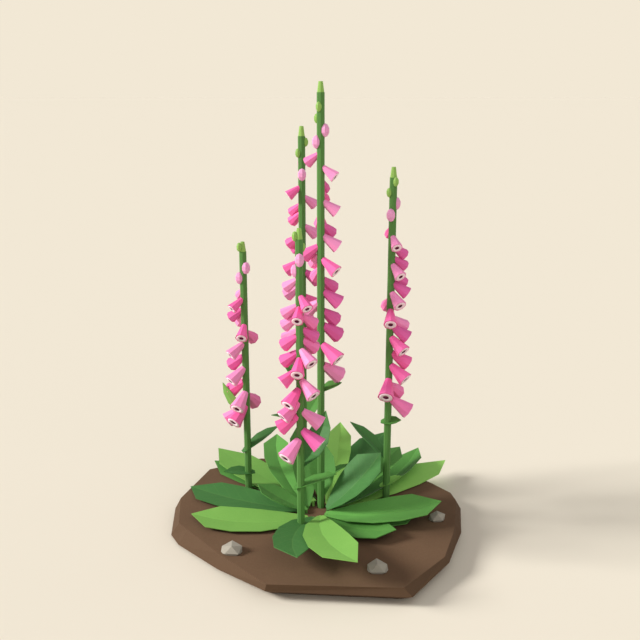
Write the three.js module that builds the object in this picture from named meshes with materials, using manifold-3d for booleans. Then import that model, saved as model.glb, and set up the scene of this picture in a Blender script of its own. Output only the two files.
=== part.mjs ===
// A clump of foxglove on a slab of soil, in millimetres, +Z up. Five flower spikes stand over a rosette of
// broad leaves. The slab's underside is z = 0, and the origin is under the middle of the whole clump. Facings
// are degrees: 0 is +X, 90 is +Y.
import * as THREE from 'three';
import { mergeVertices } from 'three/addons/utils/BufferGeometryUtils.js';
import Module from 'manifold-3d';

const wasm = await Module();
wasm.setup();

// Driving dimensions
const SOIL_TOP = 42;
const CLUMP = [8.5, 32.5];
const CLEARANCE = 0.4;
const STEM_RADIUS = 8.6;
const STEM_SIDES = 8;
const STEM_DEPTH = 20;
const TIP_HEIGHT = 24;
const TIP_SCALE = { foot: 0.92, end: 0.55 };
const BELL_DROOP = 36;
const BELL_SIDES = 8;
const BELL_LENGTH = [34, 53];
const BELL_NECK = 0.165;
const BELL_MOUTH = 0.39;
const BELL_LIP = { outer: 0.79, inner: 0.36, depth: 0.05 };
const BELL_THROAT = { radius: 0.3, depth: 0.16 };
const BELL_ROOT = 0.6 * STEM_RADIUS;
const BUD_PITCH = 25;
const BUD_SEAT = STEM_RADIUS + 0.5;
const GREEN_BUDS = { count: 2, radius: 7, half: 11 };
const PINK_BUDS = { radius: 10.5, half: 15 };
const LEAF_THICKNESS = 1.6;
const LEAF_HALF_WIDTHS = [0.16, 0.66, 0.92, 1, 0.9, 0];
const LEAF_HEEL = 2;
const STEM_LEAF_HALF_WIDTHS = [0.3, 0.8, 1, 0.75, 0];
const ROSETTE = [0.5, -2.5];
const PETIOLE = { radius: 4, depth: 14, sides: 6 };

// The soil's rim, counter-clockwise: top edge x, y, then shoulder x, y and how far it lies below the top
const RIM = [
  [-296, 218, -306, 226, 20],
  [-348, 48, -362, 44, 26],
  [-333, -81, -354, -72, 36],
  [-308, -114, -330, -118, 36],
  [-225, -221, -228, -228, 34],
  [-113, -345, -117, -339, 19],
  [169, -358, 187, -364, 18],
  [269, -235, 280, -231, 17],
  [302, -133, 307, -152, 17],
  [313, -86, 327, -96, 17],
  [333, 37, 345, 30, 20],
  [326, 77, 336, 92, 22],
  [284, 134, 294, 146, 22],
  [190, 235, 198, 247, 22],
  [25, 290, 25, 304, 22],
  [-165, 288, -172, 302, 22],
];
const FOOT_SCALE = 0.9;
const SLAB_MIDDLE = [-10, -40];
const STONE_CLEARANCE = 0.5;
const STONE_ROUGHNESS = [0.88, 1.12];
const STONE_RISE = 0.25;

// Stones: middle x, y, then half sizes along x, y and z, and the seed of their facets
const STONES = [
  { name: 'stone_front_left', at: [-196, -212], half: [29, 24, 19], seed: 3 },
  { name: 'stone_front', at: [118, -288], half: [27, 22, 18], seed: 5 },
  { name: 'stone_right', at: [274, -62], half: [23, 20, 17], seed: 8 },
  { name: 'stone_back_left', at: [-126, 270], half: [26, 20, 19], seed: 13 },
  { name: 'stone_back_right', at: [120, 232], half: [24, 20, 16], seed: 21 },
];

// Spikes: foot from the tall one's, height over the soil, lean in mm per metre, first bud below the top,
// facings of the four buds, then bells as height, facing; stem leaves as height, facing, turn, length, width,
// rise at the stem and at the tip, fold, roll and how far from the stem's axis they start. A basal leaf is
// written like a rosette leaf
const SPIKES = [
  {
    name: 'spike_tall',
    foot: [0, 0],
    height: 1000,
    lean: -1,
    firstBud: 53,
    buds: [240, 155, 350, 185],
    bells: [
      [846, 155], [818, 340], [788, 77], [764, 78], [742, 0], [711, 92], [691, 52], [665, 0], [642, 165],
      [622, 112], [613, 330], [590, 104], [566, 50], [538, 5], [512, 138], [492, 42], [458, 25], [413, 328],
      [362, 22],
    ],
    leaves: [
      [298, 20, 0, 52, 34, 30, 5, 14, 10, 3.5],
      [70, 40, 0, 90, 24, 20, 4, 14, 0, 3.5],
      [30, 82, 0, 126, 66, 62, 52, 12, 0, 3.5],
    ],
  },
  {
    name: 'spike_right',
    foot: [160, 34],
    height: 815,
    lean: 3,
    firstBud: 32,
    buds: [300, 190, 30, 240],
    bells: [
      [678, 95], [658, 285], [634, 30], [608, 30], [593, 302], [568, 35], [549, 358], [527, 300], [510, 97],
      [486, 267], [466, 30], [446, 357], [420, 316], [382, 5], [352, 326], [316, 258], [300, 60], [268, 357],
    ],
    leaves: [
      [207, 350, 0, 50, 32, 10, 8, 10, 20, -17],
      [112, 140, 0, 130, 42, 38, 25, 16, 0, 3.5],
      [40, 10, 0, 60, 22, 28, 18, 14, 26, -16],
    ],
  },
  {
    name: 'spike_left',
    foot: [-183, 98],
    height: 635,
    lean: -3,
    firstBud: 12,
    buds: [215, 90, 320, 190],
    bells: [
      [519, 110], [497, 215], [470, 160], [453, 110], [432, 262], [413, 65], [386, 210], [352, 150],
      [324, 217], [288, 150], [261, 245], [250, 72], [222, 190], [226, 232],
    ],
    leaves: [
      [195, 170, 0, 105, 34, 45, 70, 10, 65, 3.5],
      [104, 20, 0, 112, 32, 36, 26, 14, 18, -14],
      [45, 196, 0, 80, 34, 12, 5, 14, -18, -17],
    ],
  },
  {
    name: 'spike_back',
    foot: [-44, 150],
    height: 899,
    lean: -2,
    firstBud: 37,
    buds: [10, 200, 90, 275],
    bells: [
      [757, 190], [734, 28], [715, 133], [694, 133], [664, 28], [640, 148], [625, 115], [578, 175],
      [552, 20], [518, 160], [490, 20], [468, 150], [448, 75], [428, 20], [405, 160], [378, 60], [350, 120],
    ],
    leaves: [
      [260, 130, 0, 90, 40, 40, 20, 14, 0, 3.5],
      [160, 60, 0, 100, 44, 40, 20, 14, 0, 3.5],
    ],
  },
  {
    name: 'spike_front',
    foot: [-46, -114],
    height: 701,
    lean: -1,
    firstBud: 17,
    buds: [185, 45, 275, 160],
    bells: [
      [590, 155], [554, 300], [529, 262], [533, 165], [507, 160], [510, 30], [480, 28], [456, 30],
      [464, 160], [427, 155], [435, 311], [414, 262], [388, 200], [364, 316], [344, 233], [313, 212],
      [281, 180], [292, 355], [247, 338], [224, 228],
    ],
    basal: [
      [243, 39, 268, 88, 9, 9, 5, -3, 38, 256, 9],
    ],
    leaves: [
      [266, 185, 0, 64, 24, 25, 10, 14, 0, 3.5],
      [160, 50, 0, 144, 62, 28, 75, 25, 20, 3.5],
      [106, 14, 0, 104, 34, 18, 10, 14, 8, -16],
    ],
  },
];

// Rosette leaves: facing at the foot, turn to the tip, length, width, rise at foot and tip, fold, roll, and
// the foot's distance and facing from the rosette's middle and its lift over the soil
const LEAVES = [
  [132, -3, 410, 112, -2, 4, 2, 2, 43, 105, 12],
  [137, 5, 357, 111, 0, 0, 0, 0, 69, 99, 5],
  [161, -7, 137, 70, 13, 24, 11, 2, 28, 172, 9],
  [166, -22, 319, 111, 0, -1, 7, -2, 40, 168, 7],
  [197, -38, 285, 102, -1, 3, 9, -5, 39, 232, 6],
  [268, 31, 330, 95, 10, 11, 10, 8, 39, 279, 13],
  [321, 24, 179, 95, -2, 12, 5, 0, 48, 298, 8],
  [351, 20, 200, 111, -1, 4, 5, 5, 44, 348, 5],
  [348, 30, 283, 116, 2, 9, 11, 2, 29, 312, 10],
  [39, 5, 406, 97, 0, 0, 0, 0, 54, 36, 6],
  [43, 22, 393, 94, -2, 8, 17, -14, 49, 13, 12],
  [39, 20, 293, 84, 20, 5, 13, 1, 42, 39, 8],
  [11, 18, 187, 116, 37, 47, 14, 5, 24, 4, 12],
  [54, 1, 284, 100, 27, 12, 10, -8, 44, 56, 13],
  [75, 12, 261, 65, 34, 22, 17, 13, 35, 46, 14],
  [122, -32, 298, 74, 18, 9, 15, -1, 47, 137, 11],
  [98, 3, 218, 64, 50, 38, 15, 2, 37, 131, 6],
];

const rad = THREE.MathUtils.degToRad;
const v3 = (x, y, z) => new THREE.Vector3(x, y, z);
const heading = (facing, rise = 0) => v3(
  Math.cos(rad(facing)) * Math.cos(rad(rise)),
  Math.sin(rad(facing)) * Math.cos(rad(rise)),
  Math.sin(rad(rise)),
);

function seeded(seed) {
  let s = seed;
  return () => {
    s = (s * 16807) % 2147483647;
    return s / 2147483647;
  };
}

// Solid from corner points and triangles, turned outward
function solidOf(points, faces) {
  let volume = 0;
  for (const [a, b, c] of faces) volume += points[a].dot(v3().crossVectors(points[b], points[c]));
  const triangles = volume < 0 ? faces.map(([a, b, c]) => [a, c, b]) : faces;
  const mesh = new wasm.Mesh({
    numProp: 3,
    vertProperties: new Float32Array(points.flatMap((p) => [p.x, p.y, p.z])),
    triVerts: new Uint32Array(triangles.flat()),
  });
  return new wasm.Manifold(mesh);
}

// One of three.js's closed shapes with its seams joined, to be placed and then made solid
function sealed(shape) {
  shape.deleteAttribute('normal');
  shape.deleteAttribute('uv');
  return mergeVertices(shape, 1e-3);
}

function solid(shape) {
  const place = shape.getAttribute('position');
  const points = Array.from({ length: place.count }, (_, i) => v3().fromBufferAttribute(place, i));
  const faces = [];
  for (let i = 0; i < shape.index.count; i += 3) {
    const face = [0, 1, 2].map((k) => shape.index.getX(i + k));
    if (new Set(face).size === 3) faces.push(face);
  }
  return solidOf(points, faces);
}

function shapeOf(manifold) {
  const { vertProperties, triVerts } = manifold.getMesh();
  const shape = new THREE.BufferGeometry();
  shape.setAttribute('position', new THREE.BufferAttribute(new Float32Array(vertProperties), 3));
  shape.setIndex(Array.from(triVerts));
  shape.computeVertexNormals();
  return shape;
}

// Solid through rings of equal count, closed by a fan at each end
function loft(rings) {
  const n = rings[0].length;
  const points = rings.flat();
  const faces = [];
  for (let k = 0; k + 1 < rings.length; k++) {
    for (let i = 0; i < n; i++) {
      const a = k * n + i;
      const b = k * n + ((i + 1) % n);
      faces.push([a, b, b + n], [a, b + n, a + n]);
    }
  }
  const last = (rings.length - 1) * n;
  for (let i = 1; i + 1 < n; i++) faces.push([0, i + 1, i], [last, last + i, last + i + 1]);
  return solidOf(points, faces);
}

// Prism or frustum that stands at x, y and leans along X from the soil's top
function post([x, y], bottom, top, radius, { topRadius = radius, sides = STEM_SIDES, lean = 0 } = {}) {
  const shape = sealed(new THREE.CylinderGeometry(topRadius, radius, top - bottom, sides));
  shape.rotateX(Math.PI / 2);
  shape.translate(0, 0, (bottom + top) / 2 - SOIL_TOP);
  shape.applyMatrix4(new THREE.Matrix4().makeShear(0, 0, 0, 0, lean / 1000, 0));
  shape.translate(x, y, SOIL_TOP);
  return solid(shape);
}

function footOf(spike) {
  return [CLUMP[0] + spike.foot[0], CLUMP[1] + spike.foot[1]];
}

function axisPoint(spike, height) {
  const [x, y] = footOf(spike);
  return v3(x + (spike.lean / 1000) * height, y, SOIL_TOP + height);
}

// A folded, bent blade in straight lengths: midrib and edges above, the same points below by its thickness
function blade(start, { facing, turn, length, width, rise, fold, roll }, halfWidths = LEAF_HALF_WIDTHS) {
  const count = halfWidths.length - 1;
  const steps = [];
  const rib = [start.clone()];
  for (let k = 0; k < count; k++) {
    const u = k / (count - 1);
    const step = heading(facing + turn * u, rise[0] + (rise[1] - rise[0]) * u);
    steps.push(step);
    rib.push(rib[k].clone().addScaledVector(step, length / count));
  }
  const points = [];
  rib.forEach((middle, k) => {
    const before = steps[Math.max(k - 1, 0)];
    const after = steps[Math.min(k, count - 1)];
    const along = before.clone().add(after).normalize();
    const flat = v3(-along.y, along.x, 0).normalize();
    const up = v3().crossVectors(along, flat);
    const [level, tilt] = [Math.cos(rad(roll)), Math.sin(rad(roll))];
    const side = flat.clone().multiplyScalar(level).addScaledVector(up, tilt);
    const normal = up.clone().multiplyScalar(level).addScaledVector(flat, -tilt);
    const reach = (width / 2) * halfWidths[k];
    const across = reach * Math.cos(rad(fold));
    const lift = reach * Math.sin(rad(fold));
    const left = middle.clone().addScaledVector(side, across).addScaledVector(normal, lift);
    const right = middle.clone().addScaledVector(side, -across).addScaledVector(normal, lift);
    const top = reach > 0 ? [left, middle, right] : [middle];
    const below = top.map((p) => p.clone().addScaledVector(normal, -LEAF_THICKNESS));
    points.push(...top, ...below);
  });
  const faces = [];
  const at = (k, side, low) => (k === count ? 6 * k + low : 6 * k + 3 * low + side);
  for (let k = 0; k < count; k++) {
    for (const low of [0, 1]) {
      for (const side of [0, 1]) {
        const [a, b] = [at(k, side, low), at(k, side + 1, low)];
        const [c, d] = [at(k + 1, side + 1, low), at(k + 1, side, low)];
        let halves = side === 0 ? [[a, b, c], [a, c, d]] : [[a, b, d], [b, c, d]];
        if (c === d) halves = [[a, b, c]];
        faces.push(...(low ? halves.map(([p, q, r]) => [p, r, q]) : halves));
      }
    }
    for (const side of [0, 2]) {
      const [a, b, c, d] = [at(k, side, 0), at(k + 1, side, 0), at(k + 1, side, 1), at(k, side, 1)];
      const halves = [[a, b, c], [a, c, d]];
      faces.push(...(side ? halves.map(([p, q, r]) => [p, r, q]) : halves));
    }
  }
  faces.push([0, 4, 1], [0, 3, 4], [1, 5, 2], [1, 4, 5]);
  return solidOf(points, faces);
}

// A bell: narrow end sunk in the stem, wall widening to the mouth, pale dished lip and deep throat
function bell(spike, height, facing) {
  const zone = spike.bells.map(([z]) => z);
  const lowness = (Math.max(...zone) - height) / (Math.max(...zone) - Math.min(...zone));
  const length = BELL_LENGTH[0] + (BELL_LENGTH[1] - BELL_LENGTH[0]) * lowness;
  const mouth = BELL_MOUTH * length;
  const profile = [
    [0, 0],
    [BELL_NECK * length, 0],
    [mouth, length],
    [BELL_LIP.outer * mouth, length],
    [BELL_LIP.inner * mouth, (1 - BELL_LIP.depth) * length],
    [BELL_THROAT.radius * mouth, (1 - BELL_THROAT.depth) * length],
    [0, (1 - BELL_THROAT.depth) * length],
  ].map(([r, y]) => new THREE.Vector2(r, y));
  const shape = sealed(new THREE.LatheGeometry(profile, BELL_SIDES));
  const hang = new THREE.Quaternion().setFromUnitVectors(v3(0, 1, 0), heading(facing, -BELL_DROOP));
  shape.applyQuaternion(hang);
  const root = axisPoint(spike, height).addScaledVector(heading(facing), BELL_ROOT);
  shape.translate(root.x, root.y, root.z);
  return solid(shape);
}

function bud(spike, index) {
  const { radius, half } = index < GREEN_BUDS.count ? GREEN_BUDS : PINK_BUDS;
  const shape = sealed(new THREE.SphereGeometry(1, 6, 4));
  shape.rotateX(Math.PI / 2);
  shape.scale(radius, radius, half);
  const height = spike.height - spike.firstBud - BUD_PITCH * index;
  const place = axisPoint(spike, height).addScaledVector(heading(spike.buds[index]), BUD_SEAT);
  shape.translate(place.x, place.y, place.z);
  return solid(shape);
}

function stemLeaf(spike, [height, facing, turn, length, width, riseFoot, riseTip, fold, roll, root]) {
  const start = axisPoint(spike, height).addScaledVector(heading(facing), root);
  const rise = [riseFoot, riseTip];
  return blade(start, { facing, turn, length, width, rise, fold, roll }, STEM_LEAF_HALF_WIDTHS);
}

function spikeSolid(spike) {
  const neck = SOIL_TOP + spike.height - TIP_HEIGHT;
  const { lean } = spike;
  let whole = post(footOf(spike), SOIL_TOP - STEM_DEPTH, neck + 1, STEM_RADIUS, { lean });
  const radius = TIP_SCALE.foot * STEM_RADIUS;
  const topRadius = TIP_SCALE.end * STEM_RADIUS;
  whole = whole.add(post(footOf(spike), neck, neck + TIP_HEIGHT, radius, { topRadius, lean }));
  for (let i = 0; i < spike.buds.length; i++) whole = whole.add(bud(spike, i));
  for (const [height, facing] of spike.bells) whole = whole.add(bell(spike, height, facing));
  for (const leaf of spike.leaves) whole = whole.add(stemLeaf(spike, leaf));
  for (const leaf of spike.basal ?? []) whole = whole.add(leafSolid(leaf));
  return whole;
}

function leafFoot(leaf) {
  const [distance, around, lift] = leaf.slice(-3);
  return v3(ROSETTE[0], ROSETTE[1], SOIL_TOP + lift).addScaledVector(heading(around), distance);
}

function leafSolid(leaf) {
  const [facing, turn, length, width, riseFoot, riseTip, fold, roll] = leaf;
  const foot = leafFoot(leaf);
  const { radius, depth, sides } = PETIOLE;
  const petiole = post([foot.x, foot.y], SOIL_TOP - depth, foot.z + 1, radius, { sides });
  const start = foot.clone().addScaledVector(heading(facing), -LEAF_HEEL);
  return petiole.add(blade(start, { facing, turn, length, width, rise: [riseFoot, riseTip], fold, roll }));
}

function stoneSolid({ at, half, seed }, grow = 0) {
  const random = seeded(seed);
  const shape = sealed(new THREE.IcosahedronGeometry(1, 0));
  const place = shape.getAttribute('position');
  for (let i = 0; i < place.count; i++) {
    const size = THREE.MathUtils.lerp(...STONE_ROUGHNESS, random());
    const p = v3().fromBufferAttribute(place, i).multiplyScalar(size);
    place.setXYZ(i, p.x * (half[0] + grow), p.y * (half[1] + grow), p.z * (half[2] + grow));
  }
  shape.translate(CLUMP[0] + at[0], CLUMP[1] + at[1], SOIL_TOP + STONE_RISE * half[2]);
  return solid(shape);
}

function soilSolid() {
  const [cx, cy] = CLUMP;
  const top = RIM.map(([x, y]) => v3(x + cx, y + cy, SOIL_TOP));
  const shoulder = RIM.map(([, , x, y, drop]) => v3(x + cx, y + cy, SOIL_TOP - drop));
  const drawn = (value, axis) => SLAB_MIDDLE[axis] + FOOT_SCALE * (value - SLAB_MIDDLE[axis]);
  const foot = RIM.map(([, , x, y]) => v3(drawn(x, 0) + cx, drawn(y, 1) + cy, 0));
  let whole = loft([foot, shoulder, top]);
  for (const spike of SPIKES) {
    const { lean } = spike;
    const bottom = SOIL_TOP - STEM_DEPTH - CLEARANCE;
    whole = whole.subtract(post(footOf(spike), bottom, SOIL_TOP + 1, STEM_RADIUS + CLEARANCE, { lean }));
  }
  for (const leaf of [...LEAVES, ...SPIKES.flatMap((spike) => spike.basal ?? [])]) {
    const { x, y } = leafFoot(leaf);
    const { radius, depth, sides } = PETIOLE;
    const bottom = SOIL_TOP - depth - CLEARANCE;
    whole = whole.subtract(post([x, y], bottom, SOIL_TOP + 1, radius + CLEARANCE, { sides }));
  }
  for (const stone of STONES) whole = whole.subtract(stoneSolid(stone, STONE_CLEARANCE));
  return whole;
}

const SOIL_LOOK = { color: 0x6b4d3a, roughness: 0.95, metalness: 0 };
const STONE_LOOK = { color: 0xa9a294, roughness: 0.85, metalness: 0 };
const FLOWER_LOOK = { color: 0xe8559b, roughness: 0.6, metalness: 0 };
const LEAF_GREENS = [0x82b85a, 0x5e9648, 0x4f8246];

const clump = new THREE.Group();

function place(name, manifold, look) {
  const mesh = new THREE.Mesh(shapeOf(manifold), new THREE.MeshStandardMaterial(look));
  mesh.name = name;
  clump.add(mesh);
}

place('soil_slab', soilSolid(), SOIL_LOOK);
for (const stone of STONES) place(stone.name, stoneSolid(stone), STONE_LOOK);
for (const spike of SPIKES) place(spike.name, spikeSolid(spike), FLOWER_LOOK);
LEAVES.forEach((leaf, i) => {
  const look = { color: LEAF_GREENS[i % LEAF_GREENS.length], roughness: 0.6, metalness: 0 };
  place(`rosette_leaf_${String(i + 1).padStart(2, '0')}`, leafSolid(leaf), look);
});

export default clump;
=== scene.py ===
"""A clump of foxglove in bloom on a slab of soil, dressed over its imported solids.

Lengths in the tables are millimetres, angles degrees; meshes are made in metres.
"""

import math

import bpy
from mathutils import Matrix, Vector


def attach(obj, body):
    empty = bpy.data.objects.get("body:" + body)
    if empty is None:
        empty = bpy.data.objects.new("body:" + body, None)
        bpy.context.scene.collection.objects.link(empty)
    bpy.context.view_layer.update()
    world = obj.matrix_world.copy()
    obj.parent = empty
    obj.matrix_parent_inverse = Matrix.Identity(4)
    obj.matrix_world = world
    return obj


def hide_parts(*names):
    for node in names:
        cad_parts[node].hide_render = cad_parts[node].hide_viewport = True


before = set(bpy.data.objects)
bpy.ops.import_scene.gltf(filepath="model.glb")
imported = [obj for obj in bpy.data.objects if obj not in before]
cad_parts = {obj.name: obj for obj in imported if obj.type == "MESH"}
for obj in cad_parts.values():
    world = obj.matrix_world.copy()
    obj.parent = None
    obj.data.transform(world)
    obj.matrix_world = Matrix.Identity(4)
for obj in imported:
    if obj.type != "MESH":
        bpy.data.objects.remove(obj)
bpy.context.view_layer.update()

MM = 0.001
SOIL_TOP = 42
CLUMP = (8.5, 32.5)
ROSETTE = (0.5, -2.5)
STEM_RADIUS = 8.6
STEM_SIDES = 8
STEM_DEPTH = 20
TIP_HEIGHT = 24
TIP_RADII = (0.92 * STEM_RADIUS, 0.55 * STEM_RADIUS)
OVERLAP = 1

# Bells: length at the top and foot of a spike, where they sit in the stem, and their form. Neck, mouth and
# throat depth are shares of the length, and the rim is a share of the mouth. The throat is a share of the rim
# for the throat's end, and of the mouth for the lip's inner edge
BELL_DROOP = 36
BELL_LENGTH = (34, 53)
BELL_ROOT = 0.6 * STEM_RADIUS
BELL_FORM = {
    "Sides": 8, "Lip Sides": 20, "Neck": 0.165, "Mouth": 0.39, "Rim": 0.79, "Throat": 0.36,
    "Throat Depth": 0.16,
}
LIP_THICKNESS = 0.03
# Tones are partly each bell's own pink and partly painted shade: the deeper ones also darken bells that sit
# in shade
TONES = {"D": -1, "H": 0, "S": 0.45, "L": 1}

# Buds: radius and half length; the first ones are green
BUD_PITCH = 25
BUD_SEAT = STEM_RADIUS + 0.5
BUD_SIZES = {"green": (7, 11), "pink": (10.5, 15)}
BUD_FORM = {"Segments": 7, "Rings": 5}
GREEN_BUDS = 2

LEAF_THICKNESS = 1.6
LEAF_HEEL = 2
PETIOLE_RADIUS = 4
PETIOLE_DEPTH = 14
PETIOLE_SIDES = 6
BLADE_OUTLINE = (0.16, 0.66, 0.92, 1, 0.9, 0)
STEM_LEAF_OUTLINE = (0.3, 0.8, 1, 0.75, 0)

# Surfaces
PATCH_DETAIL = 3
GRAIN_DETAIL = 4
GRAIN_SHARE = 0.35
ROUGHNESS_SPREAD = 0.15
GRAIN_HEIGHT = 0.0006
SPECULAR = 0.25
RIB_HALF_WIDTH = 0.06
RIB_STRENGTH = 0.12
VEIN_SLANT = 0.22
VEIN_COUNT = 9
VEIN_EDGE = 0.8
VEIN_STRENGTH = 0.35
MOUTH_START = 0.2
MOUTH_PALENESS = 0.12
SIDE_SLOPE = 0.8
TOP_SLOPE = 0.98
EQUAL_WITHIN = 0.1

# Floor, light and camera; each sun has its share of the floor's light, facing, elevation and spread
FLOOR_REACH = 60.0
FLOOR_WHITENESS = 0.78
SKY_SHARE = 0.24
SUNS = {
    "window_left": (0.54, 183, 28, 18),
    "window_right": (0.07, 20, 34, 70),
    "window_front": (0.15, 288, 38, 70),
}
CAMERA_PLACE = (0.0061, -1.9375, 1.0405)
CAMERA_PITCH = 15
CAMERA_LENS = 50
CAMERA_SENSOR = 36

# Spikes: foot from the tall one's, height over the soil, lean in mm per metre, first bud below the top, and
# the buds' facings. Bells: height, facing, and tone: D deep, H hot, S soft, L light pink. Stem leaves:
# height, facing, turn, length, width, rise at the stem and at the tip, fold, roll, how far from the stem's
# axis they start, and the green: 0 light, 1 mid, 2 dark. The bells' heights and facings began as a program's
# fit to the photo, and not all were changed
SPIKES = [
    {
        "name": "spike_tall", "foot": (0, 0), "height": 1000, "lean": -1, "first_bud": 53,
        "buds": (240, 155, 350, 185),
        "bells": [
            (846, 155, "S"), (818, 340, "L"), (788, 77, "D"), (764, 78, "H"), (742, 0, "L"),
            (711, 92, "S"), (691, 52, "D"), (665, 0, "L"), (642, 165, "H"), (622, 112, "L"),
            (613, 330, "H"), (590, 104, "S"), (566, 50, "D"), (538, 5, "D"), (512, 138, "L"),
            (492, 42, "D"), (458, 25, "D"), (413, 328, "H"), (362, 22, "L"),
        ],
        "leaves": [
            (298, 20, 0, 52, 34, 30, 5, 14, 10, 3.5, 1), (70, 40, 0, 90, 24, 20, 4, 14, 0, 3.5, 1),
            (30, 82, 0, 126, 66, 62, 52, 12, 0, 3.5, 1),
        ],
    },
    {
        "name": "spike_right", "foot": (160, 34), "height": 815, "lean": 3, "first_bud": 32,
        "buds": (300, 190, 30, 240),
        "bells": [
            (678, 95, "H"), (658, 285, "L"), (634, 30, "D"), (608, 30, "D"), (593, 302, "L"),
            (568, 35, "D"), (549, 358, "D"), (527, 300, "L"), (510, 97, "S"), (486, 267, "H"),
            (466, 30, "L"), (446, 357, "D"), (420, 316, "H"), (382, 5, "H"), (352, 326, "H"),
            (316, 258, "H"), (300, 60, "S"), (268, 357, "S"),
        ],
        "leaves": [
            (207, 350, 0, 50, 32, 10, 8, 10, 20, -17, 1), (112, 140, 0, 130, 42, 38, 25, 16, 0, 3.5, 2),
            (40, 10, 0, 60, 22, 28, 18, 14, 26, -16, 0),
        ],
    },
    {
        "name": "spike_left", "foot": (-183, 98), "height": 635, "lean": -3, "first_bud": 12,
        "buds": (215, 90, 320, 190),
        "bells": [
            (519, 110, "L"), (497, 215, "H"), (470, 160, "D"), (453, 110, "L"), (432, 262, "H"),
            (413, 65, "S"), (386, 210, "L"), (352, 150, "D"), (324, 217, "L"), (288, 150, "H"),
            (261, 245, "L"), (250, 72, "S"), (222, 190, "L"), (226, 232, "H"),
        ],
        "leaves": [
            (195, 170, 0, 105, 34, 45, 70, 10, 65, 3.5, 0), (104, 20, 0, 112, 32, 36, 26, 14, 18, -14, 2),
            (45, 196, 0, 80, 34, 12, 5, 14, -18, -17, 2),
        ],
    },
    {
        "name": "spike_back", "foot": (-44, 150), "height": 899, "lean": -2, "first_bud": 37,
        "buds": (10, 200, 90, 275),
        "bells": [
            (757, 190, "H"), (734, 28, "L"), (715, 133, "H"), (694, 133, "H"), (664, 28, "L"),
            (640, 148, "H"), (625, 115, "D"), (578, 175, "H"), (552, 20, "D"), (518, 160, "L"),
            (490, 20, "H"), (468, 150, "H"), (448, 75, "L"), (428, 20, "H"), (405, 160, "L"),
            (378, 60, "H"), (350, 120, "L"),
        ],
        "leaves": [
            (260, 130, 0, 90, 40, 40, 20, 14, 0, 3.5, 1), (160, 60, 0, 100, 44, 40, 20, 14, 0, 3.5, 1),
        ],
    },
    {
        "name": "spike_front", "foot": (-46, -114), "height": 701, "lean": -1, "first_bud": 17,
        "buds": (185, 45, 275, 160),
        "bells": [
            (590, 155, "L"), (554, 300, "H"), (529, 262, "H"), (533, 165, "L"), (507, 160, "L"),
            (510, 30, "S"), (480, 28, "D"), (456, 30, "S"), (464, 160, "H"), (427, 155, "D"),
            (435, 311, "L"), (414, 262, "H"), (388, 200, "H"), (364, 316, "L"), (344, 233, "H"),
            (313, 212, "S"), (281, 180, "H"), (292, 355, "L"), (247, 338, "D"), (224, 228, "L"),
        ],
        "leaves": [
            (266, 185, 0, 64, 24, 25, 10, 14, 0, 3.5, 2), (160, 50, 0, 144, 62, 28, 75, 25, 20, 3.5, 2),
            (106, 14, 0, 104, 34, 18, 10, 14, 8, -16, 1),
        ],
    },
]

# Rosette leaves: facing, turn, length, width, rise at foot and tip, fold, roll, the foot's distance and
# facing from the rosette's middle, its lift over the soil, and the green: 0 light, 1 mid, 2 dark. Most rows
# are results of a fitting program, rounded, and not chosen by hand
LEAVES = [
    (132, -3, 410, 112, -2, 4, 2, 2, 43, 105, 12, 0),
    (137, 5, 357, 111, 0, 0, 0, 0, 69, 99, 5, 1),
    (161, -7, 137, 70, 13, 24, 11, 2, 28, 172, 9, 1),
    (166, -22, 319, 111, 0, -1, 7, -2, 40, 168, 7, 2),
    (197, -38, 285, 102, -1, 3, 9, -5, 39, 232, 6, 0),
    (268, 31, 330, 95, 10, 11, 10, 8, 39, 279, 13, 0),
    (321, 24, 179, 95, -2, 12, 5, 0, 48, 298, 8, 1),
    (351, 20, 200, 111, -1, 4, 5, 5, 44, 348, 5, 1),
    (348, 30, 283, 116, 2, 9, 11, 2, 29, 312, 10, 1),
    (39, 5, 406, 97, 0, 0, 0, 0, 54, 36, 6, 0),
    (43, 22, 393, 94, -2, 8, 17, -14, 49, 13, 12, 1),
    (39, 20, 293, 84, 20, 5, 13, 1, 42, 39, 8, 1),
    # Leaf 13's dark green is painted shade, for a leaf that sits in soft shade
    (11, 18, 187, 116, 37, 47, 14, 5, 24, 4, 12, 2),
    (54, 1, 284, 100, 27, 12, 10, -8, 44, 56, 13, 2),
    (75, 12, 261, 65, 34, 22, 17, 13, 35, 46, 14, 0),
    (122, -32, 298, 74, 18, 9, 15, -1, 47, 137, 11, 1),
    (98, 3, 218, 64, 50, 38, 15, 2, 37, 131, 6, 1),
]
FRONT_BASAL_LEAF = (243, 39, 268, 88, 9, 9, 5, -3, 38, 256, 9)
GREENS = ("leaf_light", "leaf_mid", "leaf_dark")
# Rosette leaves, by number, with painted light: a finish lighter than their green, where they sit in shade or
# turn away from the light
PAINTED_LIGHT_FINISHES = {
    8: "leaf_mid_painted_lit", 9: "leaf_mid_painted_lit", 10: "leaf_light_painted_lit",
    12: "leaf_mid_painted_lit", 15: "leaf_light_painted_lit", 16: "leaf_mid_painted_lit",
}


def shade(red, green, blue):
    """Linear colour from 0-255 screen values."""
    parts = [c / 255 for c in (red, green, blue)]
    return (*[c / 12.92 if c <= 0.04045 else ((c + 0.055) / 1.055) ** 2.4 for c in parts], 1.0)


BACKDROP = shade(242, 232, 213)
WHITE = BACKDROP[0] / FLOOR_WHITENESS


# Node helpers


def node(tree, kind, inputs=None, **settings):
    """A node with its settings, each input given a value or a link."""
    made = tree.nodes.new(kind)
    for key, value in settings.items():
        setattr(made, key, value)
    for key, value in (inputs or {}).items():
        if isinstance(value, bpy.types.NodeSocket):
            tree.links.new(value, made.inputs[key])
        else:
            made.inputs[key].default_value = value
    return made


def maths(tree, operation, *values):
    return node(tree, "ShaderNodeMath", dict(enumerate(values)), operation=operation).outputs[0]


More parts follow.
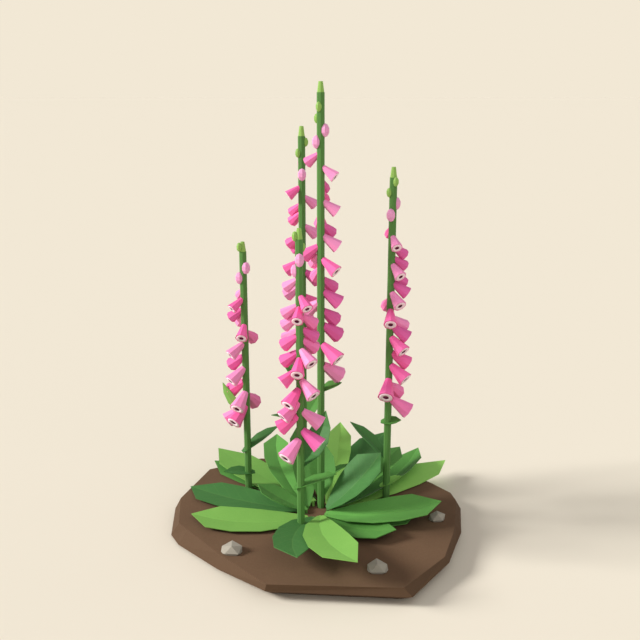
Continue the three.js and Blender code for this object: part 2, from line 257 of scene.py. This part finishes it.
def mix(tree, factor, first, second):
    """Two colours mixed; the mix node takes them in its inputs 6 and 7."""
    colours = {0: factor, 6: first, 7: second}
    return node(tree, "ShaderNodeMix", colours, data_type="RGBA").outputs[2]


def mottled_surface():
    """Soft patches and fine grain, shared by every finish."""
    group = bpy.data.node_groups.new("mottled_surface", "ShaderNodeTree")
    for name, kind, value in (
        ("Color", "NodeSocketColor", (0.5, 0.5, 0.5, 1)),
        ("Shade", "NodeSocketColor", (0.3, 0.3, 0.3, 1)),
        ("Stretch", "NodeSocketVector", (1, 1, 1)),
        ("Patch Scale", "NodeSocketFloat", 20),
        ("Grain Scale", "NodeSocketFloat", 400),
        ("Contrast", "NodeSocketFloat", 0.5),
        ("Relief", "NodeSocketFloat", 0.2),
        ("Roughness", "NodeSocketFloat", 0.6),
    ):
        group.interface.new_socket(name, in_out="INPUT", socket_type=kind).default_value = value
    for name, kind in (
        ("Color", "NodeSocketColor"),
        ("Roughness", "NodeSocketFloat"),
        ("Normal", "NodeSocketVector"),
    ):
        group.interface.new_socket(name, in_out="OUTPUT", socket_type=kind)
    given = node(group, "NodeGroupInput").outputs
    place = node(group, "ShaderNodeTexCoord").outputs["Object"]
    spread = {0: place, 1: given["Stretch"]}
    spread = node(group, "ShaderNodeVectorMath", spread, operation="MULTIPLY").outputs[0]
    patch = {"Vector": spread, "Scale": given["Patch Scale"], "Detail": PATCH_DETAIL}
    patch = node(group, "ShaderNodeTexNoise", patch).outputs["Fac"]
    grain = {"Vector": spread, "Scale": given["Grain Scale"], "Detail": GRAIN_DETAIL}
    grain = node(group, "ShaderNodeTexNoise", grain).outputs["Fac"]
    both = maths(group, "MULTIPLY_ADD", grain, GRAIN_SHARE, patch)
    amount = maths(group, "MULTIPLY", both, given["Contrast"])
    rough = maths(group, "MULTIPLY_ADD", grain, ROUGHNESS_SPREAD, given["Roughness"])
    bump = {"Height": grain, "Strength": given["Relief"], "Distance": GRAIN_HEIGHT}
    bump = node(group, "ShaderNodeBump", bump).outputs[0]
    out = node(group, "NodeGroupOutput")
    group.links.new(mix(group, amount, given["Color"], given["Shade"]), out.inputs["Color"])
    group.links.new(rough, out.inputs["Roughness"])
    group.links.new(bump, out.inputs["Normal"])
    return group


MOTTLED = mottled_surface()


def finish_with(name, colour, dark, tune=None, **shader):
    """A material whose colour is mottled towards a darker one; tune may change the colour first."""
    made = bpy.data.materials.new(name)
    made.use_nodes = True
    tree = made.node_tree
    shader_node = tree.nodes["Principled BSDF"]
    surface = node(tree, "ShaderNodeGroup", node_tree=MOTTLED)
    for key, value in shader.items():
        surface.inputs[key.replace("_", " ")].default_value = value
    for key, value in (("Color", colour), ("Shade", dark)):
        surface.inputs[key].default_value = value
    if tune:
        tune(tree, surface)
    tree.links.new(surface.outputs["Color"], shader_node.inputs["Base Color"])
    tree.links.new(surface.outputs["Roughness"], shader_node.inputs["Roughness"])
    tree.links.new(surface.outputs["Normal"], shader_node.inputs["Normal"])
    shader_node.inputs["Specular IOR Level"].default_value = SPECULAR
    return made


def attribute(tree, name):
    return node(tree, "ShaderNodeAttribute", attribute_name=name).outputs["Fac"]


def ramp(tree, value, low, high, start=0.0, end=1.0):
    given = {"Value": value, "From Min": low, "From Max": high, "To Min": start, "To Max": end}
    return node(tree, "ShaderNodeMapRange", given).outputs[0]


def leaf_veins(rib, vein_strength):
    """Paler midrib and side veins, from each blade's own along and across."""

    def tune(tree, surface):
        along, across = attribute(tree, "along"), attribute(tree, "across")
        side = maths(tree, "ABSOLUTE", across)
        middle = ramp(tree, side, 0.0, RIB_HALF_WIDTH, 1.0, 0.0)
        slant = maths(tree, "MULTIPLY_ADD", side, -VEIN_SLANT, along)
        turns = maths(tree, "MULTIPLY", slant, VEIN_COUNT * 2 * math.pi)
        wave = maths(tree, "SINE", turns)
        veins = ramp(tree, wave, VEIN_EDGE, 1.0, 0.0, vein_strength)
        both = maths(tree, "MAXIMUM", middle, veins)
        strength = maths(tree, "MULTIPLY", both, RIB_STRENGTH)
        base = tuple(surface.inputs["Color"].default_value)
        tree.links.new(mix(tree, strength, base, rib), surface.inputs["Color"])

    return tune


def bell_tones(light, deep):
    """Each bell's pink by its tone, partly its own and partly painted shade: 0 hot, 1 light, -1 deep; a
    little paler towards the mouth.
    """

    def tune(tree, surface):
        hot = tuple(surface.inputs["Color"].default_value)
        tone = attribute(tree, "tone")
        paler = mix(tree, ramp(tree, tone, 0.0, 1.0), hot, light)
        toned = mix(tree, ramp(tree, tone, 0.0, -1.0), paler, deep)
        edge = ramp(tree, attribute(tree, "along"), MOUTH_START, 1.0, 0.0, MOUTH_PALENESS)
        tree.links.new(mix(tree, edge, toned, light), surface.inputs["Color"])

    return tune


def painted_shade_sides(side_shade):
    """Painted shade: the slab's steep cut sides darker than its top."""

    def tune(tree, surface):
        top_colour = tuple(surface.inputs["Color"].default_value)
        upward = node(tree, "ShaderNodeNewGeometry").outputs["Normal"]
        upward = node(tree, "ShaderNodeSeparateXYZ", {0: upward}).outputs["Z"]
        side = ramp(tree, upward, SIDE_SLOPE, TOP_SLOPE, 1.0, 0.0)
        tree.links.new(mix(tree, side, top_colour, side_shade), surface.inputs["Color"])

    return tune


# The last two greens are painted light: lighter copies of the light and mid greens for leaves in shade
LEAF_COLOURS = {
    "leaf_light": (shade(127, 178, 82), shade(92, 146, 62)),
    "leaf_mid": (shade(90, 147, 66), shade(66, 121, 52)),
    "leaf_dark": (shade(71, 123, 60), shade(52, 100, 47)),
    "leaf_light_painted_lit": (shade(162, 219, 106), shade(126, 186, 84)),
    "leaf_mid_painted_lit": (shade(108, 172, 80), shade(80, 142, 62)),
}
MATERIALS = {
    name: finish_with(
        name, colour, dark, leaf_veins(shade(150, 196, 104), VEIN_STRENGTH),
        Patch_Scale=14, Grain_Scale=260, Contrast=0.45, Relief=0.25, Roughness=0.55,
    )
    for name, (colour, dark) in LEAF_COLOURS.items()
}
MATERIALS["stem"] = finish_with(
    "stem_green", shade(90, 138, 66), shade(62, 106, 50), Stretch=(1, 1, 0.12),
    Patch_Scale=30, Grain_Scale=420, Contrast=0.5, Relief=0.3, Roughness=0.55,
)
MATERIALS["bud_green"] = finish_with(
    "bud_green", shade(152, 191, 96), shade(116, 160, 72),
    Patch_Scale=60, Grain_Scale=500, Contrast=0.4, Relief=0.2, Roughness=0.55,
)
MATERIALS["bud_pink"] = finish_with(
    "bud_pink", shade(240, 166, 206), shade(220, 134, 180),
    Patch_Scale=60, Grain_Scale=500, Contrast=0.4, Relief=0.2, Roughness=0.55,
)
MATERIALS["petal"] = finish_with(
    "bell_pink", shade(248, 105, 171), shade(222, 80, 146),
    bell_tones(shade(250, 160, 207), shade(223, 98, 166)),
    Patch_Scale=45, Grain_Scale=420, Contrast=0.35, Relief=0.2, Roughness=0.5,
)
MATERIALS["lip"] = finish_with(
    "bell_lip", shade(252, 228, 236), shade(240, 190, 212),
    Patch_Scale=90, Grain_Scale=600, Contrast=0.4, Relief=0.15, Roughness=0.55,
)
MATERIALS["throat"] = finish_with(
    "bell_throat", shade(164, 66, 108), shade(120, 44, 76),
    Patch_Scale=90, Grain_Scale=600, Contrast=0.5, Relief=0.2, Roughness=0.6,
)
# The soil's steep sides get painted shade, darker than its top
MATERIALS["soil"] = finish_with(
    "soil_brown", shade(115, 88, 64), shade(82, 60, 42), painted_shade_sides(shade(96, 73, 53)),
    Patch_Scale=9, Grain_Scale=170, Contrast=0.55, Relief=0.5, Roughness=0.85,
)
MATERIALS["stone"] = finish_with(
    "stone_grey", shade(172, 165, 150), shade(132, 125, 111),
    Patch_Scale=35, Grain_Scale=320, Contrast=0.5, Relief=0.35, Roughness=0.8,
)


# Meshes


def heading(facing, rise=0):
    a, e = math.radians(facing), math.radians(rise)
    return Vector((math.cos(a) * math.cos(e), math.sin(a) * math.cos(e), math.sin(e)))


def mesh_piece(name, points, faces, material, values=None):
    """A flat-faced mesh in metres, with a value per corner point for each named attribute."""
    mesh = bpy.data.meshes.new(name)
    mesh.from_pydata([tuple(p * MM) for p in points], [], faces)
    for key, numbers in (values or {}).items():
        mesh.attributes.new(key, "FLOAT", "POINT").data.foreach_set("value", numbers)
    mesh.materials.append(material)
    mesh.validate()
    made = bpy.data.objects.new(name, mesh)
    bpy.context.collection.objects.link(made)
    return made


def blade(start, facing, turn, length, width, rise, fold, roll, outline):
    """A folded, bent leaf blade: corner points, faces, and each point's along and across."""
    count = len(outline) - 1
    steps = [
        heading(facing + turn * k / (count - 1), rise[0] + (rise[1] - rise[0]) * k / (count - 1))
        for k in range(count)
    ]
    rib = [start.copy()]
    for step in steps:
        rib.append(rib[-1] + step * length / count)
    tilt, lift = math.radians(roll), math.radians(fold)
    top, below, along, across = [], [], [], []
    for k, middle in enumerate(rib):
        run = (steps[max(k - 1, 0)] + steps[min(k, count - 1)]).normalized()
        flat = Vector((-run.y, run.x, 0)).normalized()
        up = run.cross(flat)
        side = flat * math.cos(tilt) + up * math.sin(tilt)
        normal = up * math.cos(tilt) - flat * math.sin(tilt)
        reach = width / 2 * outline[k]
        spread = side * reach * math.cos(lift)
        raised = normal * reach * math.sin(lift)
        row = [middle + spread + raised, middle, middle - spread + raised] if reach else [middle]
        top.append(row)
        below.append([p - normal * LEAF_THICKNESS for p in row])
        along += [k / count] * len(row)
        across += [1, 0, -1] if reach else [0]
    points, index, faces = [], {}, []
    for low, rows in enumerate((top, below)):
        for k, row in enumerate(rows):
            for side, p in enumerate(row):
                index[low, k, side if len(row) > 1 else None] = len(points)
                points.append(p)

    def at(low, k, side):
        return index.get((low, k, side), index.get((low, k, None)))

    for k in range(count):
        for side in (0, 1):
            for low in (0, 1):
                corners = [
                    at(low, k, side), at(low, k, side + 1),
                    at(low, k + 1, side + 1), at(low, k + 1, side),
                ]
                if side:
                    halves = [corners[:2] + corners[3:], corners[1:]]
                else:
                    halves = [corners[:3], [corners[0], *corners[2:]]]
                for half in halves:
                    if len(set(half)) == 3:
                        faces.append(half[::-1] if low else half)
        for side in (0, 2):
            wall = [at(0, k, side), at(0, k + 1, side), at(1, k + 1, side), at(1, k, side)]
            faces.append(wall[::-1] if side else wall)
    for side in (0, 1):
        faces.append([at(0, 0, side), at(1, 0, side), at(1, 0, side + 1), at(0, 0, side + 1)])
    return points, faces, {"along": along * 2, "across": across * 2}


def prism(x, y, bottom, top, radius, top_radius=None, sides=STEM_SIDES, lean=0):
    """Ring-ended post that leans along X from the soil's top."""
    points = []
    for z, r in ((bottom, radius), (top, radius if top_radius is None else top_radius)):
        middle = x + lean / 1000 * (z - SOIL_TOP)
        for i in range(sides):
            a = 2 * math.pi * i / sides
            points.append(Vector((middle + r * math.sin(a), y - r * math.cos(a), z)))
    walls = [[i, (i + 1) % sides, sides + (i + 1) % sides, sides + i] for i in range(sides)]
    return points, [*walls, list(range(sides))[::-1], list(range(sides, 2 * sides))]


def join(name, parts, material):
    """One piece from several closed forms."""
    points, faces, values = [], [], {"along": [], "across": []}
    for part_points, part_faces, *rest in parts:
        faces += [[i + len(points) for i in face] for face in part_faces]
        points += part_points
        for key, numbers in values.items():
            numbers += rest[0][key] if rest else [0] * len(part_points)
    return mesh_piece(name, points, faces, material, values)


def keep(piece, node_name):
    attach(piece, "root")
    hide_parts(node_name)


def rosette_leaf(row):
    facing, turn, length, width, rise_foot, rise_tip, fold, roll, distance, around, lift = row
    foot = Vector((*ROSETTE, SOIL_TOP + lift)) + heading(around) * distance
    start = foot - heading(facing) * LEAF_HEEL
    bottom = SOIL_TOP - PETIOLE_DEPTH
    stalk = prism(foot.x, foot.y, bottom, foot.z + OVERLAP, PETIOLE_RADIUS, sides=PETIOLE_SIDES)
    rise = (rise_foot, rise_tip)
    return [stalk, blade(start, facing, turn, length, width, rise, fold, roll, BLADE_OUTLINE)]


for number, row in enumerate(LEAVES, 1):
    green = GREENS[row[-1]]
    # Some leaves take a lighter copy of their green as painted light
    finish = MATERIALS[PAINTED_LIGHT_FINISHES.get(number, green)]
    piece = join(f"leaf_{number:02d}", rosette_leaf(row[:-1]), finish)
    keep(piece, f"rosette_leaf_{number:02d}")


def axis_point(spike, height):
    x, y = (CLUMP[i] + spike["foot"][i] for i in (0, 1))
    return Vector((x + spike["lean"] / 1000 * height, y, SOIL_TOP + height))


def dress_stem(spike):
    x, y = (CLUMP[i] + spike["foot"][i] for i in (0, 1))
    neck = SOIL_TOP + spike["height"] - TIP_HEIGHT
    lean = spike["lean"]
    stem = prism(x, y, SOIL_TOP - STEM_DEPTH, neck + OVERLAP, STEM_RADIUS, lean=lean)
    keep(join(spike["name"] + "_stem", [stem], MATERIALS["stem"]), spike["name"])
    tip = prism(x, y, neck, neck + TIP_HEIGHT, *TIP_RADII, lean=lean)
    keep(join(spike["name"] + "_tip", [tip], MATERIALS["bud_green"]), spike["name"])
    leaves = {}
    for height, facing, turn, length, width, rise_foot, rise_tip, fold, roll, root, green in spike["leaves"]:
        start = axis_point(spike, height) + heading(facing) * root
        rise = (rise_foot, rise_tip)
        grown_leaf = blade(start, facing, turn, length, width, rise, fold, roll, STEM_LEAF_OUTLINE)
        leaves.setdefault(GREENS[green], []).append(grown_leaf)
    for green, blades in leaves.items():
        keep(join(spike["name"] + "_" + green, blades, MATERIALS[green]), spike["name"])


# Bells and buds: points on each stem carry the turn, size and tone of what grows there


def seat_mesh(name, seats):
    """Points with a turn, size and tone each, as the row that a bloom tree reads."""
    mesh = bpy.data.meshes.new(name)
    mesh.from_pydata([tuple(place * MM) for place, *_ in seats], [], [])
    turns = [angle for _, turn, _, _ in seats for angle in turn]
    mesh.attributes.new("turn", "FLOAT_VECTOR", "POINT").data.foreach_set("vector", turns)
    sizes = [part * MM for _, _, size, _ in seats for part in size]
    mesh.attributes.new("size", "FLOAT_VECTOR", "POINT").data.foreach_set("vector", sizes)
    mesh.attributes.new("tone", "FLOAT", "POINT").data.foreach_set("value", [seat[3] for seat in seats])
    made = bpy.data.objects.new(name, mesh)
    bpy.context.collection.objects.link(made)
    return made


def socket_kind(value):
    """The kind of input that a default asks for; a material has none."""
    if value is None:
        return "NodeSocketMaterial"
    return "NodeSocketInt" if isinstance(value, int) else "NodeSocketFloat"


def tree_with(name, sockets):
    """Geometry tree with its inputs; returns the tree, its inputs and their identifiers."""
    tree = bpy.data.node_groups.new(name, "GeometryNodeTree")
    ask = tree.interface.new_socket
    ask("Geometry", in_out="INPUT", socket_type="NodeSocketGeometry")
    ids = {}
    for label, value in sockets.items():
        made = ask(label, in_out="INPUT", socket_type=socket_kind(value))
        ids[label] = made.identifier
        if value is not None:
            made.default_value = value
    ask("Geometry", in_out="OUTPUT", socket_type="NodeSocketGeometry")
    return tree, node(tree, "NodeGroupInput").outputs, ids


def named(tree, geometry, name, value, kind="FLOAT", domain="POINT"):
    given = {"Geometry": geometry, "Name": name, "Value": value}
    return node(tree, "GeometryNodeStoreNamedAttribute", given, data_type=kind, domain=domain).outputs[0]


def read(tree, name, kind="FLOAT"):
    return node(tree, "GeometryNodeInputNamedAttribute", {"Name": name}, data_type=kind).outputs[0]


def set_on_seats(tree, seats, form):
    """Instances of form on the seats, turned and sized by each seat, made real."""
    turn = node(tree, "FunctionNodeEulerToRotation", {0: read(tree, "turn", "FLOAT_VECTOR")}).outputs[0]
    given = {"Points": seats, "Instance": form, "Rotation": turn, "Scale": read(tree, "size", "FLOAT_VECTOR")}
    placed = node(tree, "GeometryNodeInstanceOnPoints", given).outputs[0]
    return node(tree, "GeometryNodeRealizeInstances", {0: placed}).outputs[0]


def coat(tree, geometry, selection, material):
    given = {"Geometry": geometry, "Selection": selection, "Material": material}
    return node(tree, "GeometryNodeSetMaterial", given).outputs[0]


def equal(tree, value, number):
    """Whether two numbers are the same; the compare node takes its margin in input 12."""
    given = {0: value, 1: number, 12: EQUAL_WITHIN}
    return node(tree, "FunctionNodeCompare", given, data_type="FLOAT", operation="EQUAL").outputs[0]


def bell_tree():
    """One bell per seat, a unit long: faceted wall, pale lip ring, and a dark throat inside."""
    sockets = {**BELL_FORM, "Petal": None, "Lip": None, "Dark": None}
    tree, given, ids = tree_with("bell_row", sockets)
    wall = {"Vertices": given["Sides"], "Radius Top": given["Mouth"], "Radius Bottom": given["Neck"]}
    wall = node(tree, "GeometryNodeMeshCone", {**wall, "Depth": 1.0}, fill_type="NGON")
    rim = {"Mesh": wall.outputs["Mesh"], "Selection": wall.outputs["Top"], "Offset Scale": 0.0}
    rim = node(tree, "GeometryNodeExtrudeMesh", rim)
    rim_in = {"Geometry": rim.outputs["Mesh"], "Selection": rim.outputs["Top"], "Scale": given["Rim"]}
    rim_in = node(tree, "GeometryNodeScaleElements", rim_in)
    deep = maths(tree, "MULTIPLY", given["Throat Depth"], -1.0)
    throat = {"Mesh": rim_in.outputs[0], "Selection": rim.outputs["Top"], "Offset Scale": deep}
    throat = node(tree, "GeometryNodeExtrudeMesh", throat)
    narrow = {"Geometry": throat.outputs["Mesh"], "Selection": throat.outputs["Top"]}
    narrow = node(tree, "GeometryNodeScaleElements", {**narrow, "Scale": given["Throat"]})
    inside = {0: throat.outputs["Top"], 1: throat.outputs["Side"]}
    inside = node(tree, "FunctionNodeBooleanMath", inside, operation="OR")
    body = named(tree, narrow.outputs[0], "part", inside.outputs[0], "FLOAT", "FACE")
    outer = maths(tree, "MULTIPLY", given["Mouth"], given["Rim"])
    inner = maths(tree, "MULTIPLY", given["Mouth"], given["Throat"])
    middle = maths(tree, "MULTIPLY", maths(tree, "ADD", outer, inner), 0.5)
    band = maths(tree, "SUBTRACT", outer, inner)
    circle = {"Resolution": given["Lip Sides"], "Radius": middle}
    circle = node(tree, "GeometryNodeCurvePrimitiveCircle", circle)
    section = {"Width": band, "Height": LIP_THICKNESS}
    section = node(tree, "GeometryNodeCurvePrimitiveQuadrilateral", section)
    lip = {0: circle.outputs[0], "Profile Curve": section.outputs[0]}
    lip = node(tree, "GeometryNodeCurveToMesh", lip).outputs[0]
    lip = node(tree, "GeometryNodeTransform", {"Geometry": lip, "Translation": (0, 0, 1)}).outputs[0]
    lip = named(tree, lip, "part", 2.0, "FLOAT", "FACE")
    bell = node(tree, "GeometryNodeJoinGeometry")
    tree.links.new(body, bell.inputs[0])
    tree.links.new(lip, bell.inputs[0])
    height = node(tree, "GeometryNodeInputPosition").outputs[0]
    height = node(tree, "ShaderNodeSeparateXYZ", {0: height}).outputs["Z"]
    bell = named(tree, bell.outputs[0], "along", height)
    row = set_on_seats(tree, given["Geometry"], bell)
    part = read(tree, "part")
    for number, label in ((0.0, "Petal"), (1.0, "Dark"), (2.0, "Lip")):
        row = coat(tree, row, equal(tree, part, number), given[label])
    out = node(tree, "NodeGroupOutput")
    tree.links.new(row, out.inputs[0])
    return tree, ids


def bud_tree():
    """One faceted egg per seat; tone 1 is pink, 0 is green."""
    tree, given, ids = tree_with("bud_row", {**BUD_FORM, "Green": None, "Pink": None})
    egg = {"Segments": given["Segments"], "Rings": given["Rings"], "Radius": 1.0}
    egg = node(tree, "GeometryNodeMeshUVSphere", egg).outputs[0]
    row = set_on_seats(tree, given["Geometry"], egg)
    tone = read(tree, "tone")
    for number, label in ((0.0, "Green"), (1.0, "Pink")):
        row = coat(tree, row, equal(tree, tone, number), given[label])
    out = node(tree, "NodeGroupOutput")
    tree.links.new(row, out.inputs[0])
    return tree, ids


def grown(name, seats, tree_and_ids, materials):
    """The row that a tree grows on seats, as a plain mesh."""
    tree, ids = tree_and_ids
    made = seat_mesh(name + "_seats", seats)
    modifier = made.modifiers.new("grow", "NODES")
    modifier.node_group = tree
    for label, material in materials.items():
        modifier[ids[label]] = material
    bpy.context.view_layer.update()
    evaluated = made.evaluated_get(bpy.context.evaluated_depsgraph_get())
    mesh = bpy.data.meshes.new_from_object(evaluated)
    mesh.name = name
    bpy.data.objects.remove(made)
    piece = bpy.data.objects.new(name, mesh)
    bpy.context.collection.objects.link(piece)
    return piece


BELLS, BUDS = bell_tree(), bud_tree()


def bell_seats(spike):
    heights = [bell[0] for bell in spike["bells"]]
    top, low = max(heights), min(heights)
    seats = []
    for height, facing, tone in spike["bells"]:
        length = BELL_LENGTH[0] + (BELL_LENGTH[1] - BELL_LENGTH[0]) * (top - height) / (top - low)
        place = axis_point(spike, height) + heading(facing) * BELL_ROOT
        turn = heading(facing, -BELL_DROOP).to_track_quat("Z", "Y").to_euler()
        seats.append((place, turn, (length, length, length), TONES[tone]))
    return seats


def bud_seats(spike):
    seats = []
    for i, facing in enumerate(spike["buds"]):
        kind = "green" if i < GREEN_BUDS else "pink"
        radius, half = BUD_SIZES[kind]
        height = spike["height"] - spike["first_bud"] - BUD_PITCH * i
        place = axis_point(spike, height) + heading(facing) * BUD_SEAT
        seats.append((place, (0, 0, i), (radius, radius, half), int(kind == "pink")))
    return seats


for spike in SPIKES:
    dress_stem(spike)
    petals = {"Petal": MATERIALS["petal"], "Lip": MATERIALS["lip"], "Dark": MATERIALS["throat"]}
    keep(grown(spike["name"] + "_bells", bell_seats(spike), BELLS, petals), spike["name"])
    greens = {"Green": MATERIALS["bud_green"], "Pink": MATERIALS["bud_pink"]}
    keep(grown(spike["name"] + "_buds", bud_seats(spike), BUDS, greens), spike["name"])
basal = join("leaf_front_basal", rosette_leaf(FRONT_BASAL_LEAF), MATERIALS["leaf_dark"])
keep(basal, "spike_front")

for name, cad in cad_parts.items():
    for kind in ("soil", "stone"):
        if name.startswith(kind):
            cad.data.materials.clear()
            cad.data.materials.append(MATERIALS[kind])


# Floor, light and camera: sky and suns together make the floor as bright as the backdrop, so no horizon
# shows

def pale_floor():
    mesh = bpy.data.meshes.new("floor")
    corners = [(x * FLOOR_REACH, y * FLOOR_REACH, 0) for x, y in ((-1, -1), (1, -1), (1, 1), (-1, 1))]
    mesh.from_pydata(corners, [], [(0, 1, 2, 3)])
    made = bpy.data.objects.new("floor", mesh)
    bpy.context.collection.objects.link(made)
    finish = bpy.data.materials.new("pale_floor")
    finish.use_nodes = True
    shader = finish.node_tree.nodes["Principled BSDF"]
    colour = [c * FLOOR_WHITENESS / BACKDROP[0] for c in BACKDROP[:3]]
    shader.inputs["Base Color"].default_value = [*colour, 1]
    shader.inputs["Roughness"].default_value = 1.0
    shader.inputs["Specular IOR Level"].default_value = 0.0
    mesh.materials.append(finish)


def sky():
    """Soft light all round; the backdrop that the camera sees is brighter."""
    world = bpy.data.worlds.new("studio")
    bpy.context.scene.world = world
    world.use_nodes = True
    tree = world.node_tree
    lit = tree.nodes["Background"]
    lit.inputs["Color"].default_value = (1, 1, 1, 1)
    lit.inputs["Strength"].default_value = SKY_SHARE * WHITE
    seen = node(tree, "ShaderNodeBackground", {"Color": BACKDROP, "Strength": 1.0})
    direct = node(tree, "ShaderNodeLightPath").outputs["Is Camera Ray"]
    both = node(tree, "ShaderNodeMixShader", {0: direct, 1: lit.outputs[0], 2: seen.outputs[0]})
    tree.links.new(both.outputs[0], tree.nodes["World Output"].inputs["Surface"])


def sun(name, share, facing, elevation, spread):
    made = bpy.data.objects.new(name, bpy.data.lights.new(name, "SUN"))
    bpy.context.collection.objects.link(made)
    made.data.energy = math.pi * share * WHITE / math.sin(math.radians(elevation))
    made.data.angle = math.radians(spread)
    made.rotation_euler = heading(facing, elevation).to_track_quat("Z", "Y").to_euler()


pale_floor()
sky()
for name, given in SUNS.items():
    sun(name, *given)

camera = bpy.data.objects.new("camera", bpy.data.cameras.new("camera"))
bpy.context.collection.objects.link(camera)
camera.location = CAMERA_PLACE
camera.rotation_euler = (math.radians(90 - CAMERA_PITCH), 0, 0)
camera.data.lens = CAMERA_LENS
camera.data.sensor_width = CAMERA_SENSOR
bpy.context.scene.camera = camera
bpy.context.scene.view_settings.view_transform = "Standard"
